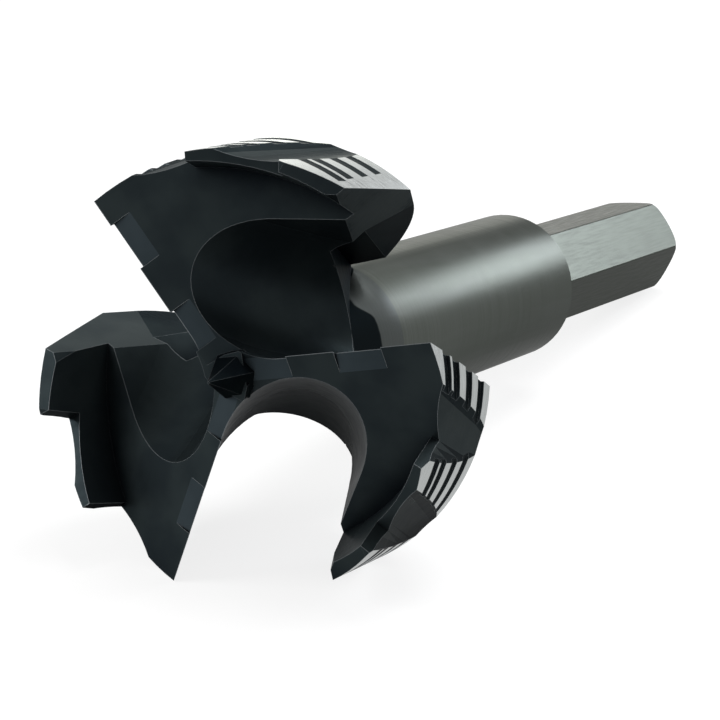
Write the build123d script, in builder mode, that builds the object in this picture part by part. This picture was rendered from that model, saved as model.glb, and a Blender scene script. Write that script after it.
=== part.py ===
"""Three-wing forstner bit, 40 mm, one piece of steel.

The bit is built upright in its own tool frame: Z along the tool axis with the centre point up, the
outer corners of the three cutting edges in the plane z = 0 and the shank below. The first wing has
its outer corner on +X; it turns anticlockwise seen from the point, so each wing trails off
clockwise behind its edge ("lag" is the angle behind the corner). The finished bit is then laid on
its side, as it comes to rest on a bench. Millimetres throughout.
"""
import os
from math import atan2, cos, degrees, radians, sin, tan

from build123d import *

# Driving sizes
HEAD_R = 20.0             # cutting radius
OVERALL = 100.0           # shank end to centre point tip
POINT_H = 3.7             # centre point tip above the outer corners
RIM_END = -11.2           # rear edge of the cylindrical rim
NECK_R = 7.5
NECK_START = -19.4        # head runs out onto the neck
NECK_END = -60.0
HUB_R = 5.2               # neck narrows to this inside the head
HUB_START = -10.8
HEX_AF = 9.5              # across flats of the shank
HEX_TURNED_R = 5.45       # shank corners are turned down to this radius
WINGS = 3

# Cutting edges, relief and rake
EDGE_AHEAD = 1.26         # each edge passes this far ahead of the axis
RELIEF = 21.8             # floor behind the edge falls away at this angle
RAKE = 26.5               # rake face leans this far from the axis
GULLET_R = 6.25           # half width of the gullet slot, and its end radius
GULLET_LEAN = 18.5        # path of the slot end leans outward by this at the front
GULLET_SWEEP_R = 40.0     # and bends outward on this radius

# Rim: toothed wall standing around the outside of each relief floor
WALL_R = 23.25            # inner face of the wall, on a centre set off the axis
WALL_CENTRE = (-22.3, 3.7)  # measured in the floor plane from the corner, along and ahead of the edge
SPUR_LAG = (31.2, 59.0)   # tips of the two spurs on a wing
SPUR_Z = 0.55
TOOTH_PITCH = 28.5        # scallops behind each other by this angle
GROOVES = (-2.62, -4.28, -6.80, -9.28)
GROOVE_W = 1.5
GROOVE_DEPTH = 0.34
GROOVE_SHIFT = 0.36       # cut on a centre shifted towards the heel, so that they die out there
SCOOP_R = 7.0             # scallops: round cut ahead of each spur
SCOOP_FRONT = (26.0, 21.4, -1.7)   # its centre line, as radius, lag and height, near the front
SCOOP_REAR = (26.9, 31.6, -11.2)   # and at the rear edge of the rim

# Chip breakers: stretches of edge ground lower, staggered from wing to wing
CHIP_STEP = 0.3
CHIP_BACK = 2.1
CHIPS = (((1.6, 5.9), (10.6, 15.2)), ((3.6, 7.8), (12.6, 17.3)), ((1.6, 5.9), (10.6, 15.2)))

# Points it rests on, as lag, radius and height
HEEL_CONTACT = (80.4, HEAD_R, RIM_END)
RIM_CONTACT = (125.1, HEAD_R, -3.54)
END_CONTACT = (125.0, 5.2, POINT_H - OVERALL + 0.94)


def lag(angle, r=HEAD_R, z=0.0):
    """Point on the first wing at an angle behind its corner."""
    return Vector(r * cos(radians(angle)), -r * sin(radians(angle)), z)


edge_yaw = degrees(atan2(EDGE_AHEAD, HEAD_R))
edge_dir = Vector(1, 0, 0).rotate(Axis.Z, -edge_yaw)
ahead = edge_dir.rotate(Axis.Z, 90)
corner = Vector(HEAD_R, 0, 0)


def rim_face(angle):
    """Sketch plane touching the outside of the rim: X to the rear of the wing, Y up, facing the axis."""
    return Plane(lag(angle, HEAD_R + 3), x_dir=lag(angle + 90, 1), z_dir=-lag(angle, 1))


# Relief floor: plane through the edge, falling away behind it
floor_plane = Plane(corner, x_dir=edge_dir, z_dir=Vector(0, 0, 1).rotate(Axis((0, 0, 0), edge_dir), RELIEF))

# Relief pocket inside the rim wall, and the open stretch of rim ahead of the first spur
with BuildPart() as relief:
    with BuildSketch(floor_plane):
        with Locations(WALL_CENTRE):
            Circle(WALL_R)
        with BuildLine():
            Polyline((4, 1.5), (-17.7, 1.5), (-18.2, -1.9), (-20.4, -6.6), (-26, -18.5), (-26, -30), (4, -30),
                     close=True)
        make_face(mode=Mode.INTERSECT)
        with BuildLine():
            Polyline((4, 1.5), (-9, 1.5), (-9, -8), (-3.1, -9.1), (1.2, -12), (4, -12), close=True)
        make_face()
    extrude(amount=9)

# Top lands of the rim wall: each falls away from its spur to the foot of the next
with BuildPart() as lands:
    for first, foot, last in ((31.7, 54.8, SPUR_LAG[1] - 0.6), (60.0, 88.0, 92.0)):
        mid = (first + last) / 2
        across = lambda angle: HEAD_R * sin(radians(angle - mid))
        drop = (across(foot) - across(first)) * tan(radians(RELIEF))
        with BuildSketch(rim_face(mid)):
            with BuildLine():
                Polyline((across(first), SPUR_Z), (across(foot), SPUR_Z - drop), (across(last), SPUR_Z),
                         (across(last), 3), (across(first), 3), close=True)
            make_face()
        extrude(amount=10)
    with Locations((0, 0, SPUR_Z)):
        Cylinder(30, 5, align=(Align.CENTER, Align.CENTER, Align.MIN))
    Cylinder(17, 5, align=(Align.CENTER, Align.CENTER, Align.MIN))

# Scallops down the outside of the rim, one ahead of each spur, dying out towards the rear
front, rear = (lag(angle, r, z) for r, angle, z in (SCOOP_FRONT, SCOOP_REAR))
with BuildPart() as scallops:
    with BuildSketch(Plane(front, z_dir=rear - front)):
        Circle(SCOOP_R)
    extrude(amount=16)
    extrude(faces().sort_by(Axis.Z)[-1], amount=4)
    add(scallops.part.rotate(Axis.Z, -TOOTH_PITCH))

# Grooves round the rim of a wing
with BuildPart() as grooves:
    centre = lag(95, GROOVE_SHIFT)
    with BuildSketch(Plane(centre, x_dir=lag(-10, 1), z_dir=lag(80, 1))):
        with Locations(*[(HEAD_R, z) for z in GROOVES]):
            Trapezoid(GROOVE_W, GROOVE_DEPTH * 2, 75, rotation=90)
    revolve(axis=Axis(centre, (0, 0, -1)), revolution_arc=105)

# Gullet ahead of the wing: slot with a round end whose path bends outward to the rear, and the
# wedge behind it that opens the gullet down to the neck and out to the far wall
rake_normal = Vector(0, 1, 0).rotate(Axis.Z, -edge_yaw).rotate(Axis((0, 0, 0), edge_dir), -RAKE)
down = rake_normal.cross(edge_dir)
path = down * cos(radians(GULLET_LEAN)) + edge_dir * sin(radians(GULLET_LEAN))
out = edge_dir * cos(radians(GULLET_LEAN)) - down * sin(radians(GULLET_LEAN))
start = corner - edge_dir * 16.9 + rake_normal * GULLET_R - down * 3.1 - path * 4
with BuildPart() as gullet:
    with BuildSketch(Plane(start, x_dir=out, z_dir=path)):
        Circle(GULLET_R)
        Rectangle(35, 2 * GULLET_R, align=(Align.MIN, Align.CENTER))
    revolve(axis=Axis(start + out * GULLET_SWEEP_R, rake_normal), revolution_arc=-46)

with BuildPart() as clearance:
    for z, left in ((-11, 6.4), (-21, 3.2)):
        far_y = 14.45 + 0.394 * z
        rake_y = EDGE_AHEAD + z * tan(radians(RAKE))
        with BuildSketch(Plane.XY.offset(z)):
            with BuildLine():
                Polyline((left, far_y), (33, far_y - 1.2), (33, rake_y - 2), (8, rake_y - 0.4), (left, -1.5),
                         close=True)
            make_face()
    loft(ruled=True)
    with Locations((0, 0, NECK_START)):
        Cylinder(NECK_R, 9, align=(Align.CENTER, Align.CENTER, Align.MAX), mode=Mode.SUBTRACT)
        Cone(NECK_R, HUB_R, HUB_START - NECK_START, align=(Align.CENTER, Align.CENTER, Align.MIN),
             mode=Mode.SUBTRACT)

# Heel face: plane cutting off the trailing corner of the wing
with BuildPart() as heel:
    with BuildSketch(Plane((5.52, -17.3, 0), x_dir=(0.19, 0, 1), z_dir=(-1, 0.02, 0.19))):
        Rectangle(48, 17)
    extrude(amount=7)


def chip_breaker(near, far):
    """Wedge that lowers the edge between two distances from the axis, dying out behind it."""
    with BuildPart() as wedge:
        with BuildSketch(Plane(corner - edge_dir * (HEAD_R - near), x_dir=floor_plane.y_dir, z_dir=edge_dir)):
            with BuildLine():
                Polyline((-CHIP_BACK, 0), (0, -CHIP_STEP), (1, -CHIP_STEP), (1, 1), (-CHIP_BACK, 1), close=True)
            make_face()
        extrude(amount=far - near)
    return wedge


# Hexagonal shank with turned corners and a domed end
shank_end = POINT_H - OVERALL
with BuildPart() as shank:
    with BuildSketch(Plane.XY.offset(shank_end)):
        RegularPolygon(HEX_AF / 2, 6, major_radius=False, rotation=49.3)
    extrude(amount=NECK_END - shank_end)
    with BuildSketch(Plane.XZ):
        with BuildLine():
            dome = ThreePointArc((3.6, shank_end), (4.85, shank_end + 0.5), (HEX_TURNED_R, shank_end + 1.7))
            Polyline(dome @ 1, (HEX_TURNED_R, NECK_END), (0, NECK_END), (0, shank_end), dome @ 0)
        make_face()
    revolve(axis=Axis.Z, mode=Mode.INTERSECT)

with BuildPart() as forstner_bit:
    # Turned blank: head, rounded rear, neck
    with BuildSketch(Plane.XZ):
        with BuildLine():
            rear = ThreePointArc((18.5, -13.4), (16.4, -15.9), (12.3, -18.2))
            Polyline(rear @ 1, (NECK_R, NECK_START), (NECK_R, NECK_END + 0.7), (NECK_R - 0.7, NECK_END),
                     (0, NECK_END), (0, 1.5), (HEAD_R, 1.5), (HEAD_R, RIM_END), rear @ 0)
        make_face()
    revolve(axis=Axis.Z)

    for cutter in (heel, relief, lands, scallops, grooves, gullet, clearance):
        with PolarLocations(0, WINGS):
            add(cutter.part, mode=Mode.SUBTRACT)

    for wing, stretches in enumerate(CHIPS):
        with PolarLocations(0, 1, start_angle=wing * 360 / WINGS):
            for near, far in stretches:
                add(chip_breaker(near, far).part, mode=Mode.SUBTRACT)

    add(shank.part)

    # Centre point: three broad faces with narrow ones between them
    with BuildSketch(Plane.XY.offset(-1.0)):
        RegularPolygon(4.2, 3, rotation=26)
        RegularPolygon(4.4, 3, rotation=86, mode=Mode.INTERSECT)
    with BuildSketch(Plane.XY.offset(POINT_H)):
        RegularPolygon(0.12, 6, rotation=26)
    loft()

# Rest on a bench: it stands on the heel of one wing, the leading rim edge of the next and the end
# of the shank, with the cutting end towards -Y and the origin under the middle of its bounding box
heel_point, rim_point, end_point = lag(*HEEL_CONTACT), lag(*RIM_CONTACT), lag(*END_CONTACT)
up = (end_point - heel_point).cross(rim_point - heel_point).normalized()
bench = Plane(heel_point, x_dir=up.cross(Vector(0, 0, 1)), z_dir=up)
laid = bench.to_local_coords(forstner_bit.part)
box = laid.bounding_box()
laid = laid.translate((-box.center().X, -box.center().Y, -box.min.Z))

laid.label = "forstner_bit"
os.makedirs("parts", exist_ok=True)
export_step(laid, "parts/forstner_bit.step")
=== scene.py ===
from math import radians

import bmesh
import bpy
from mathutils import Euler, Matrix, Vector


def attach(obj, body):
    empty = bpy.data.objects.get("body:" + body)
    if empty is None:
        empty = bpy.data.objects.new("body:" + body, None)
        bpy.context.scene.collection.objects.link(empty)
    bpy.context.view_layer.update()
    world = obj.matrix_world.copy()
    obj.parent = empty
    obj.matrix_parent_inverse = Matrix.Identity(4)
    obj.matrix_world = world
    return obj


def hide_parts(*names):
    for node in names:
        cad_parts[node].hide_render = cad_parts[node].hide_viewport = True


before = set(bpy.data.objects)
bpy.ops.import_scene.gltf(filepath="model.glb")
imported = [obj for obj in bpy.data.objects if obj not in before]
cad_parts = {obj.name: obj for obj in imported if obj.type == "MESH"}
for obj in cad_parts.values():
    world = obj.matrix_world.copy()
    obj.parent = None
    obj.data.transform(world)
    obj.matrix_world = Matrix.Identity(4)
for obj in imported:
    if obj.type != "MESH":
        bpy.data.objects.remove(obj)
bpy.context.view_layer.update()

# Cutting head: three wings around a centre point, milled in one piece with the neck and shank from a
# bar of tool steel. It is blackened after machining, to an even blue-black with a soft sheen, faint
# cutter marks across it and a bright hairline of bare steel along each sharp edge.
MM = 0.001

# The bit lies on its side, so its finishes are measured in the tool's own frame, whose axis climbs
# 8.7 degrees towards the head. +Z runs from the shank through the centre point, from a zero in the
# plane of the three outer corners, and +X goes through the corner of the right-hand wing.
TOOL_ZERO = Vector((0.0, -0.0460378, 0.0193551))
TOOL_TURN = Euler((radians(80.8821), radians(-16.9742), radians(2.6826)))


def new_material(name):
    """Node material; returns the material, its node tree and its shader."""
    material = bpy.data.materials.new(name)
    material.use_nodes = True
    return material, material.node_tree, material.node_tree.nodes["Principled BSDF"]


def feed(tree, socket, value):
    """Links an output to a socket, or sets the socket to a plain value."""
    if hasattr(value, "is_output"):
        tree.links.new(value, socket)
    else:
        socket.default_value = value


def reckon(tree, operation, *values):
    """One step of arithmetic on outputs and plain values."""
    node = tree.nodes.new("ShaderNodeMath")
    node.operation = operation
    for socket, value in zip(node.inputs, values):
        feed(tree, socket, value)
    return node.outputs[0]


def ramp(tree, value, low, high, at_low=0.0, at_high=1.0):
    """Smooth step of a value between two limits."""
    node = tree.nodes.new("ShaderNodeMapRange")
    node.interpolation_type = "SMOOTHSTEP"
    for socket, setting in zip(node.inputs, (value, low, high, at_low, at_high)):
        feed(tree, socket, setting)
    return node.outputs[0]


def blend(tree, factor, first, second):
    """Colour between two others, each an output or plain red, green and blue."""
    node = tree.nodes.new("ShaderNodeMix")
    node.data_type = "RGBA"
    feed(tree, node.inputs[0], factor)
    for socket, colour in ((node.inputs[6], first), (node.inputs[7], second)):
        feed(tree, socket, colour if hasattr(colour, "is_output") else (*colour, 1.0))
    return node.outputs[2]


def tool_place(tree):
    """Point of the surface in the tool's own frame, in millimetres."""
    coordinates = tree.nodes.new("ShaderNodeTexCoord")
    mapping = tree.nodes.new("ShaderNodeMapping")
    mapping.vector_type = "TEXTURE"
    mapping.inputs["Location"].default_value = TOOL_ZERO
    mapping.inputs["Rotation"].default_value = TOOL_TURN
    mapping.inputs["Scale"].default_value = (MM, MM, MM)
    tree.links.new(coordinates.outputs["Object"], mapping.inputs["Vector"])
    return mapping.outputs[0]


def split(tree, vector):
    """The three parts of a vector."""
    node = tree.nodes.new("ShaderNodeSeparateXYZ")
    tree.links.new(vector, node.inputs[0])
    return node.outputs


def grain(tree, place, per_mm, detail):
    """Noise whose pattern is finer or coarser along each axis of the tool."""
    mapping = tree.nodes.new("ShaderNodeMapping")
    mapping.inputs["Scale"].default_value = per_mm
    tree.links.new(place, mapping.inputs["Vector"])
    noise = tree.nodes.new("ShaderNodeTexNoise")
    noise.inputs["Scale"].default_value = 1.0
    noise.inputs["Detail"].default_value = detail
    tree.links.new(mapping.outputs[0], noise.inputs["Vector"])
    return noise.outputs["Fac"]


def openness(tree, distance, rays):
    """1 in the open, towards 0 where other surfaces within the distance hem it in."""
    node = tree.nodes.new("ShaderNodeAmbientOcclusion")
    node.samples = rays
    node.inputs["Distance"].default_value = distance
    return node.outputs["AO"]


def worn_edges(tree, width=0.09 * MM, reach=0.5 * MM):
    """1 on sharp outer edges, fading to 0 within the width; inner corners stay 0."""
    rounded = tree.nodes.new("ShaderNodeBevel")
    rounded.samples = 6
    rounded.inputs["Radius"].default_value = width
    flat = tree.nodes.new("ShaderNodeNewGeometry")
    turn = tree.nodes.new("ShaderNodeVectorMath")
    turn.operation = "DOT_PRODUCT"
    tree.links.new(rounded.outputs[0], turn.inputs[0])
    tree.links.new(flat.outputs["Normal"], turn.inputs[1])
    edge = ramp(tree, turn.outputs["Value"], 0.995, 0.93)
    return reckon(tree, "MULTIPLY", edge, ramp(tree, openness(tree, reach, 6), 0.55, 0.9))


def bump(tree, shader, height, strength, depth=0.02 * MM):
    """Fine relief left by the cutter."""
    node = tree.nodes.new("ShaderNodeBump")
    node.inputs["Strength"].default_value = strength
    node.inputs["Distance"].default_value = depth
    tree.links.new(height, node.inputs["Height"])
    tree.links.new(node.outputs[0], shader.inputs["Normal"])


def blackened(name, dark, light):
    """Black oxide between two tones, with painted shade darkening it to near black where the surface is
    hemmed in.
    """
    material, tree, shader = new_material(name)
    place = tool_place(tree)
    marks = grain(tree, place, (0.5, 0.5, 6.0), 5.0)
    cloud = grain(tree, place, (0.16, 0.16, 0.16), 3.0)
    x, y = split(tree, place)[:2]
    squared = reckon(tree, "ADD", reckon(tree, "MULTIPLY", x, x), reckon(tree, "MULTIPLY", y, y))
    off_axis = reckon(tree, "SQRT", squared)
    # The hairlines fade towards the axis, so that the centre point stays dark.
    edge = reckon(tree, "MULTIPLY", worn_edges(tree), ramp(tree, off_axis, 3.4, 5.0, 0.3, 1.0))
    # Painted shade: where other surfaces within 9 mm hem the face in, the tone is mixed towards near black
    # and the sheen is turned down.
    free_of_painted_shade = ramp(tree, openness(tree, 9 * MM, 8), 0.22, 0.85)
    tone = blend(tree, ramp(tree, cloud, 0.35, 0.65), dark, light)
    tone = blend(tree, free_of_painted_shade, (0.002, 0.003, 0.006), tone)
    tone = blend(tree, reckon(tree, "MULTIPLY", edge, 0.8), tone, (0.24, 0.26, 0.27))
    tree.links.new(tone, shader.inputs["Base Color"])
    tree.links.new(ramp(tree, marks, 0.3, 0.7, 0.32, 0.42), shader.inputs["Roughness"])
    tree.links.new(ramp(tree, free_of_painted_shade, 0.0, 1.0, 0.002, 0.009), shader.inputs["Specular IOR Level"])
    shader.inputs["Metallic"].default_value = 0.4
    shader.inputs["Specular Tint"].default_value = (0.25, 0.25, 0.25, 1)
    bump(tree, shader, marks, 0.10)
    return material


# The oxide is paler on the chip breakers, which are ground into the edges, and deepest on the centre point.
# The scallops and heels get a greyer copy of it, a painted sheen for the light these outward faces catch.
black_oxide = blackened("black_oxide", (0.018, 0.024, 0.027), (0.026, 0.034, 0.036))
paler_oxide = blackened("paler_oxide", (0.030, 0.040, 0.046), (0.038, 0.050, 0.057))
# Painted sheen: a greyer copy of the oxide for the scallops and heels.
oxide_painted_sheen = blackened("oxide_painted_sheen", (0.044, 0.053, 0.055), (0.056, 0.066, 0.067))
deep_oxide = blackened("deep_oxide", (0.004, 0.006, 0.008), (0.008, 0.012, 0.013))

# Ground lands around the rim. After blackening, the outside of the toothed rim is ground to size,
# which leaves bright bands of bare steel between the black grooves and scallops.
ground_land, tree, shader = new_material("ground_land")
scratches = grain(tree, tool_place(tree), (0.6, 0.6, 14.0), 3.0)
tone = blend(tree, ramp(tree, scratches, 0.3, 0.7), (0.27, 0.285, 0.28), (0.37, 0.39, 0.385))
tree.links.new(tone, shader.inputs["Base Color"])
tree.links.new(ramp(tree, scratches, 0.3, 0.7, 0.26, 0.40), shader.inputs["Roughness"])
shader.inputs["Metallic"].default_value = 1.0

# Neck, turned on the bar and polished to a satin grey. Inside the head it tapers to a hub, painted a shade
# darker as painted shade for the way the taper faces the light, and the black of the gullets runs onto that
# taper in a curve.
NECK_R = 7.5
NECK_START, NECK_END = -19.4, -60.0
DEGREES_IN_RADIAN = 57.29578
GREY_TINT = (0.45, 0.45, 0.45, 1)
turned_neck, tree, shader = new_material("turned_neck")
place = tool_place(tree)
x, y, z = split(tree, place)
turn_marks = grain(tree, place, (0.05, 0.05, 9.0), 6.0)
streaks = grain(tree, place, (0.35, 0.35, 0.04), 4.0)
# Angle around the axis within one third of a turn, since the gullets repeat every 120 degrees.
around = reckon(tree, "MULTIPLY", reckon(tree, "ARCTAN2", y, x), DEGREES_IN_RADIAN)
third = reckon(tree, "WRAP", around, 80.0, -40.0)
tone = blend(tree, ramp(tree, turn_marks, 0.3, 0.7), (0.067, 0.074, 0.066), (0.083, 0.090, 0.083))
tone = blend(tree, ramp(tree, streaks, 0.45, 0.75, 0.0, 0.25), tone, (0.112, 0.119, 0.115))
# Painted shade: ahead of the neck's start the taper is mixed part way towards a darker grey.
tone = blend(tree, ramp(tree, z, NECK_START - 0.3, NECK_START, 0.0, 0.45), tone, (0.042, 0.047, 0.052))
# Height at which the black ends, at each of those angles.
black_to = reckon(tree, "ADD", ramp(tree, third, 14.0, 32.0, -16.6, -15.3),
                  ramp(tree, third, 44.0, 61.0, 0.0, -4.3))
bare = ramp(tree, reckon(tree, "SUBTRACT", z, black_to), 0.12, -0.12)
tree.links.new(blend(tree, bare, (0.006, 0.008, 0.009), tone), shader.inputs["Base Color"])
tree.links.new(ramp(tree, turn_marks, 0.25, 0.75, 0.30, 0.42), shader.inputs["Roughness"])
shader.inputs["Metallic"].default_value = 1.0
shader.inputs["Specular Tint"].default_value = GREY_TINT
bump(tree, shader, turn_marks, 0.12)

# Hexagonal shank behind the neck, of the same bar. Its flats are milled along the bar and its
# corners turned down, and it is left bare and as smooth as the neck.
shank_steel, tree, shader = new_material("shank_steel")
lines = grain(tree, tool_place(tree), (5.0, 5.0, 0.3), 4.0)
tone = blend(tree, ramp(tree, lines, 0.3, 0.7), (0.058, 0.064, 0.057), (0.068, 0.074, 0.067))
tree.links.new(tone, shader.inputs["Base Color"])
tree.links.new(ramp(tree, lines, 0.3, 0.7, 0.28, 0.40), shader.inputs["Roughness"])
shader.inputs["Metallic"].default_value = 1.0
shader.inputs["Specular Tint"].default_value = GREY_TINT

# The bit itself, one piece of steel machined all over. Its faces take their finish from the surface
# they lie on: the rim cylinder, the neck and its taper into the head, the shank, and on the head
# the chip breakers, the scallops, the heels and the centre point.
FINISHES = (black_oxide, ground_land, turned_neck, shank_steel, paler_oxide, oxide_painted_sheen, deep_oxide)
HEAD_R = 20.0
RIM_END = -11.3
HUB_TAPER = 0.2674
POINT_TIP = Vector((0, 0, 3.7))
SAME_WAY = 0.9992
SHARP_FROM = radians(12.5)
from_row = Matrix.LocRotScale(TOOL_ZERO, TOOL_TURN, None).inverted()
turn_from_row = from_row.to_3x3()
wings = [Euler((0, 0, radians(turn))).to_matrix() for turn in (0, 120, 240)]
chip_turn = Euler((radians(13.67), 0, radians(-3.60))).to_matrix()
chip_normals = [wing @ chip_turn @ Vector((0, 0, 1)) for wing in wings]
heel_normals = [wing @ Vector((-1, 0.02, 0.19)).normalized() for wing in wings]


def off_neck(point):
    """Distance of a point from the neck, or ahead of it from the hub that the neck tapers to."""
    return abs(point.xy.length - min(NECK_R, NECK_R - HUB_TAPER * (point.z - NECK_START)))


def finish_of(face):
    """Finish of a face, from where it lies and which way it faces in the tool's own frame."""
    corners = [from_row @ vert.co / MM for vert in face.verts]
    middle = sum(corners, Vector()) / len(corners)
    facing = turn_from_row @ face.normal
    outward = facing.xy.normalized().dot(middle.xy.normalized())
    level = abs(facing.z)
    # Rim lands: every corner on the cutting radius, facing straight out
    if min(corner.xy.length for corner in corners) > HEAD_R - 0.015 and outward > 0.9 and level < 0.1:
        return ground_land
    # Neck with its taper, then its rear shoulder, and the shank behind that
    if max(off_neck(corner) for corner in corners) < 0.02 and outward > 0.85 and level < 0.35:
        return turned_neck
    if middle.z < NECK_END + 0.8:
        return turned_neck if middle.z > NECK_END - 0.5 else shank_steel
    # Floors of the chip breakers, near the cutting edges
    if middle.z > -4 and any(facing.dot(normal) > SAME_WAY for normal in chip_normals):
        return paler_oxide
    # Scallops, just inside the rim and facing out, and the heels, both given the painted sheen
    if outward > 0.4 and level < 0.5 and 16 < middle.xy.length < HEAD_R - 0.4 and middle.z > RIM_END:
        return oxide_painted_sheen
    if middle.z > -13 and any(facing.dot(normal) > SAME_WAY for normal in heel_normals):
        return oxide_painted_sheen
    # Centre point: faces that run up to its tip
    if middle.z > -1.1 and 0.3 < facing.z < 0.5 and abs(facing.dot(POINT_TIP - middle)) < 0.15:
        return deep_oxide
    return black_oxide


# The solid's loose faces stay as they are, but the neck's are joined, so that it shades as one round.
mesh = bmesh.new()
mesh.from_mesh(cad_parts["forstner_bit"].data)
for face in mesh.faces:
    face.material_index = FINISHES.index(finish_of(face))
    face.smooth = True
neck = FINISHES.index(turned_neck)
neck_corners = [vert for vert in mesh.verts if all(face.material_index == neck for face in vert.link_faces)]
bmesh.ops.remove_doubles(mesh, verts=neck_corners, dist=MM * MM)
bit_mesh = bpy.data.meshes.new("bit")
mesh.to_mesh(bit_mesh)
mesh.free()
for finish in FINISHES:
    bit_mesh.materials.append(finish)
bit_mesh.set_sharp_from_angle(angle=SHARP_FROM)
bit = bpy.data.objects.new("bit", bit_mesh)
bpy.context.scene.collection.objects.link(bit)
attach(bit, "root")
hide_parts("forstner_bit")

# Bench the bit lies on: a plain board with a flat pale top. The camera and the metal see it as
# white, with the soft shadow under the bit kept.
BENCH = 3
bench_top = bpy.data.meshes.new("bench_top")
bench_top.from_pydata([(-BENCH, -BENCH, 0), (BENCH, -BENCH, 0), (BENCH, BENCH, 0), (-BENCH, BENCH, 0)], [],
                      [(0, 1, 2, 3)])
bench = bpy.data.objects.new("bench_top", bench_top)
bpy.context.scene.collection.objects.link(bench)


def seen_rays(tree):
    """1 for what the camera sees, straight, in a reflection or through glass."""
    ray = tree.nodes.new("ShaderNodeLightPath").outputs
    return reckon(tree, "MAXIMUM", reckon(tree, "MAXIMUM", ray["Is Camera Ray"], ray["Is Glossy Ray"]),
                  ray["Is Transmission Ray"])


def matt(tree, grey):
    """Plain matt grey."""
    node = tree.nodes.new("ShaderNodeBsdfDiffuse")
    node.inputs["Color"].default_value = (grey, grey, grey, 1)
    return node.outputs[0]


white_top, tree, shader = new_material("white_top")
bench_top.materials.append(white_top)
tree.nodes.remove(shader)
glow = tree.nodes.new("ShaderNodeEmission")
glow.inputs["Strength"].default_value = 0.82
both = tree.nodes.new("ShaderNodeAddShader")
tree.links.new(matt(tree, 0.25), both.inputs[0])
tree.links.new(glow.outputs[0], both.inputs[1])
choose = tree.nodes.new("ShaderNodeMixShader")
tree.links.new(seen_rays(tree), choose.inputs[0])
tree.links.new(matt(tree, 0.30), choose.inputs[1])
tree.links.new(both.outputs[0], choose.inputs[2])
tree.links.new(choose.outputs[0], tree.nodes["Material Output"].inputs["Surface"])

# Room around the bench: even pale walls. They light the bit softly, and the camera and the metal
# see them as white.
room = bpy.data.worlds.new("room")
bpy.context.scene.world = room
room.use_nodes = True
walls = room.node_tree.nodes["Background"]
walls.inputs["Color"].default_value = (1, 1, 1, 1)
strength = ramp(room.node_tree, seen_rays(room.node_tree), 0.0, 1.0, 0.25, 1.0)
room.node_tree.links.new(strength, walls.inputs["Strength"])


def lamp(name, at, towards, size, power, colour=(1, 1, 1), diffuse=1.0):
    """Soft studio lamp of a width and height in metres and a power in watts."""
    light = bpy.data.lights.new(name, "AREA")
    light.shape, light.size, light.size_y = "RECTANGLE", *size
    light.energy, light.color, light.diffuse_factor = power, colour, diffuse
    holder = bpy.data.objects.new(name, light)
    holder.location = at
    holder.rotation_euler = (Vector(towards) - Vector(at)).to_track_quat("-Z", "Y").to_euler()
    holder.visible_camera = False
    bpy.context.scene.collection.objects.link(holder)


# Studio lamps. Two stand well behind: a strip on the right, which lies along the neck and shank as
# their bright band, and a fainter card on the left for the upper flats. A small soft one on the
# left in front lights the wings' edges, and a large soft one hangs overhead.
lamp("strip_behind", (0.22, 0.66, 0.20), (0.0, 0.0, 0.015), (0.28, 0.22), 2.9, (0.91, 0.93, 1.0), 0.4)
lamp("soft_left", (-0.17, -0.14, 0.11), (0.0, -0.04, 0.02), (0.10, 0.10), 0.24)
lamp("card_behind", (-0.32, 0.66, 0.10), (0.0, 0.02, 0.01), (0.22, 0.14), 0.32, (1.0, 1.0, 0.90), 0.3)
lamp("soft_top", (0.08, 0.12, 0.42), (0.0, 0.0, 0.02), (0.24, 0.24), 1.5)

# Camera, all but level, a quarter of a metre from the head. It looks down on the head by 20 degrees
# from in front and from the right.
lens = bpy.data.cameras.new("camera")
lens.lens, lens.sensor_width, lens.clip_start = 149.53, 36.0, 0.01
camera = bpy.data.objects.new("camera", lens)
camera.location = (0.122818, -0.259673, 0.108884)
camera.rotation_euler = (radians(70.3106), radians(0.2268), radians(27.1484))
bpy.context.scene.collection.objects.link(camera)
bpy.context.scene.camera = camera
bpy.context.scene.view_settings.view_transform = "Standard"
